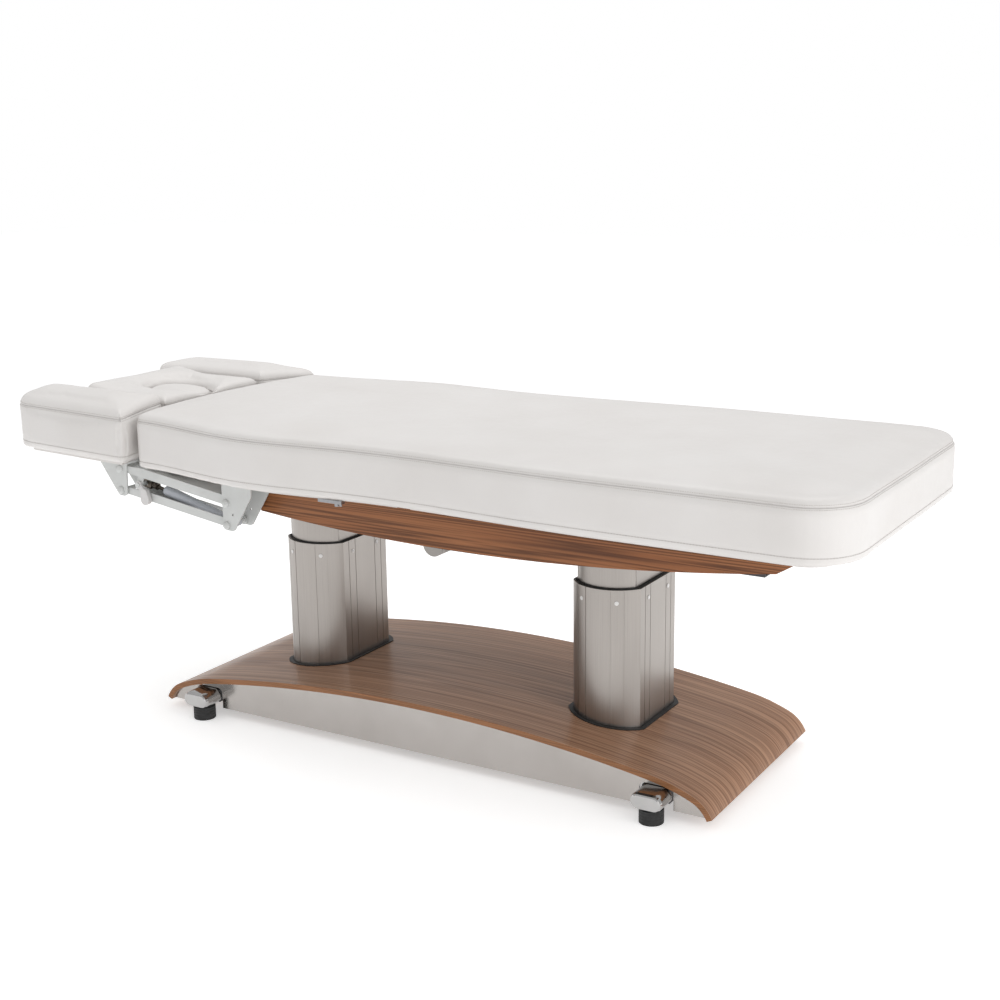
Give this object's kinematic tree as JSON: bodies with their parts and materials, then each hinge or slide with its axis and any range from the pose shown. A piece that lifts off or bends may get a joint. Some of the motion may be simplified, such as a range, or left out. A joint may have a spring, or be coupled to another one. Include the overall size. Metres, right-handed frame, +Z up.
{
  "type": "facial treatment bed",
  "caption": "Facial treatment bed: padded top with lifting back, tilting head rest, parallel-link arm rests, two lifting columns and a bent plywood base.",
  "frame": {"origin": "on the floor, under the middle of the bed's overall length and width", "axes": "+X along the bed towards the foot end, +Y across the bed, +Z up"},
  "size_m": [2.052, 0.76, 0.738],
  "materials": {
    "rubber": "matt",
    "chrome": "polished",
    "frame_paint": "satin",
    "plywood": "matt",
    "panel_steel": "satin",
    "base_walnut": "satin lacquer",
    "skirt_walnut": "satin lacquer",
    "black_plastic": "matt",
    "column_aluminium": "satin brushed",
    "button_plastic": "gloss",
    "motor_plastic": "matt",
    "rod_steel": "polished",
    "bracket_paint": "powder coat",
    "zinc_steel": "zinc plated",
    "white_leather": "soft grain",
    "spring_cover": "gloss",
    "clevis_steel": "dark",
    "lever_plastic": "gloss"
  },
  "bodies": {
    "base": {"rubber_feet": "rubber", "pod_caps": "chrome", "cross_tubes": "frame_paint", "base_rails": "frame_paint", "column_base_plates": "frame_paint", "cover_ribs": "plywood", "base_panel_near": "panel_steel", "base_panel_far": "panel_steel", "base_cover": "base_walnut", "cutout_trims": "black_plastic", "column_outer_head": "column_aluminium", "column_outer_foot": "column_aluminium", "column_wipers": "black_plastic", "column_buttons": "button_plastic", "lift_motors": "motor_plastic", "control_box": "black_plastic", "power_inlet": "black_plastic"},
    "upper_frame": {"column_inner_head": "column_aluminium", "column_inner_foot": "column_aluminium", "lift_rods": "rod_steel", "top_rails": "frame_paint", "top_crossbars": "frame_paint", "back_hinge_brackets": "zinc_steel", "actuator_bracket": "zinc_steel", "skirt_near": "skirt_walnut", "skirt_far": "skirt_walnut", "skirt_end_board": "skirt_walnut", "leg_board": "plywood", "mattress_leg": "white_leather", "mattress_fold": "white_leather"},
    "actuator_tube": {"back_actuator_body": "motor_plastic"},
    "actuator_piston": {"back_actuator_rod": "rod_steel"},
    "back_section": {"back_rails": "frame_paint", "back_crossbars": "frame_paint", "back_board": "plywood", "mattress_back": "white_leather", "edge_clips": "zinc_steel", "arm_bracket_fixed_near": "bracket_paint", "arm_bracket_fixed_far": "bracket_paint", "fixed_bolts": "bracket_paint", "head_hinge_arms": "zinc_steel"},
    "head_rest": {"head_board": "plywood", "head_cushion": "white_leather"},
    "plug": {"face_plug": "white_leather"},
    "arm_near_upper_link": {"arm_link_upper_near": "bracket_paint"},
    "arm_near_lower_link": {"arm_link_lower_near": "bracket_paint"},
    "arm_near": {"arm_bracket_moving_near": "bracket_paint", "arm_board_near": "plywood", "arm_cushion_near": "white_leather"},
    "gas_near_tube": {"gas_spring_body_near": "spring_cover"},
    "gas_near_rod": {"gas_spring_rod_near": "clevis_steel"},
    "lever_near": {"release_lever_near": "lever_plastic"},
    "arm_far_upper_link": {"arm_link_upper_far": "bracket_paint"},
    "arm_far_lower_link": {"arm_link_lower_far": "bracket_paint"},
    "arm_far": {"arm_bracket_moving_far": "bracket_paint", "arm_board_far": "plywood", "arm_cushion_far": "white_leather"},
    "gas_far_tube": {"gas_spring_body_far": "spring_cover"},
    "gas_far_rod": {"gas_spring_rod_far": "clevis_steel"},
    "lever_far": {"release_lever_far": "lever_plastic"}
  },
  "joints": [
    {"name": "bed_lift", "type": "slide", "parent": "base", "child": "upper_frame", "axis": [0, 0, 1], "range_m": [-0.07, 0.2]},
    {"name": "back_lift", "type": "hinge", "parent": "upper_frame", "child": "back_section", "pos_m": [0.067, 0, 0.56], "axis": [0, 1, 0], "range_deg": [0, 60], "deforming": ["mattress_fold"]},
    {"name": "actuator_swing", "type": "hinge", "parent": "upper_frame", "child": "actuator_tube", "pos_m": [0.027, 0, 0.462], "axis": [0, 1, 0], "range_deg": [-0.5, 54.5]},
    {"name": "actuator_extend", "type": "slide", "parent": "actuator_tube", "child": "actuator_piston", "axis": [-0.9653, 0, 0.261], "range_m": [-0.001, 0.101]},
    {"name": "head_tilt", "type": "hinge", "parent": "back_section", "child": "head_rest", "pos_m": [-0.745, 0, 0.575], "axis": [0, 1, 0], "range_deg": [-25, 0]},
    {"name": "plug_lift", "type": "slide", "parent": "head_rest", "child": "plug", "axis": [0, 0, 1], "range_m": [0, 0.15]},
    {"name": "arm_near_lift", "type": "hinge", "parent": "back_section", "child": "arm_near_upper_link", "pos_m": [-0.402, -0.26, 0.525], "axis": [0, 1, 0], "range_deg": [-20, 1]},
    {"name": "arm_near_lower_swing", "type": "hinge", "parent": "back_section", "child": "arm_near_lower_link", "pos_m": [-0.402, -0.26, 0.475], "axis": [0, 1, 0], "range_deg": [-20.5, 1.5]},
    {"name": "arm_near_level", "type": "hinge", "parent": "arm_near_upper_link", "child": "arm_near", "pos_m": [-0.71004, -0.26, 0.56994], "axis": [0, 1, 0], "range_deg": [-1.5, 20.5]},
    {"name": "gas_near_swing", "type": "hinge", "parent": "back_section", "child": "gas_near_tube", "pos_m": [-0.402, -0.26, 0.475], "axis": [0, 1, 0], "range_deg": [-20.5, 1.5]},
    {"name": "gas_near_extend", "type": "slide", "parent": "gas_near_tube", "child": "gas_near_rod", "axis": [-0.9706, 0, 0.2407], "range_m": [-0.018, 0.0015]},
    {"name": "lever_near_pull", "type": "hinge", "parent": "arm_near_upper_link", "child": "lever_near", "pos_m": [-0.656, -0.26, 0.538], "axis": [0, 1, 0], "range_deg": [0, 18], "stiffness_Nm_per_rad": 0.3, "springref_deg": -17.19},
    {"name": "arm_far_lift", "type": "hinge", "parent": "back_section", "child": "arm_far_upper_link", "pos_m": [-0.402, 0.26, 0.525], "axis": [0, 1, 0], "range_deg": [-20, 1]},
    {"name": "arm_far_lower_swing", "type": "hinge", "parent": "back_section", "child": "arm_far_lower_link", "pos_m": [-0.402, 0.26, 0.475], "axis": [0, 1, 0], "range_deg": [-20.5, 1.5]},
    {"name": "arm_far_level", "type": "hinge", "parent": "arm_far_upper_link", "child": "arm_far", "pos_m": [-0.71004, 0.26, 0.56994], "axis": [0, 1, 0], "range_deg": [-1.5, 20.5]},
    {"name": "gas_far_swing", "type": "hinge", "parent": "back_section", "child": "gas_far_tube", "pos_m": [-0.402, 0.26, 0.475], "axis": [0, 1, 0], "range_deg": [-20.5, 1.5]},
    {"name": "gas_far_extend", "type": "slide", "parent": "gas_far_tube", "child": "gas_far_rod", "axis": [-0.9706, 0, 0.2407], "range_m": [-0.018, 0.0015]},
    {"name": "lever_far_pull", "type": "hinge", "parent": "arm_far_upper_link", "child": "lever_far", "pos_m": [-0.656, 0.26, 0.538], "axis": [0, 1, 0], "range_deg": [0, 18], "stiffness_Nm_per_rad": 0.3, "springref_deg": -17.19}
  ],
  "couplings": [
    {"joint": "actuator_swing", "follows": "back_lift", "ratio": 0.8963},
    {"joint": "actuator_extend", "follows": "back_lift", "m_per_rad": 0.0953},
    {"joint": "arm_near_lower_swing", "follows": "arm_near_lift", "ratio": 1},
    {"joint": "arm_near_level", "follows": "arm_near_lift", "ratio": -1},
    {"joint": "gas_near_swing", "follows": "arm_near_lift", "ratio": 0.98},
    {"joint": "gas_near_extend", "follows": "arm_near_lift", "m_per_rad": 0.0493},
    {"joint": "arm_far_lower_swing", "follows": "arm_far_lift", "ratio": 1},
    {"joint": "arm_far_level", "follows": "arm_far_lift", "ratio": -1},
    {"joint": "gas_far_swing", "follows": "arm_far_lift", "ratio": 0.98},
    {"joint": "gas_far_extend", "follows": "arm_far_lift", "m_per_rad": 0.0493}
  ]
}
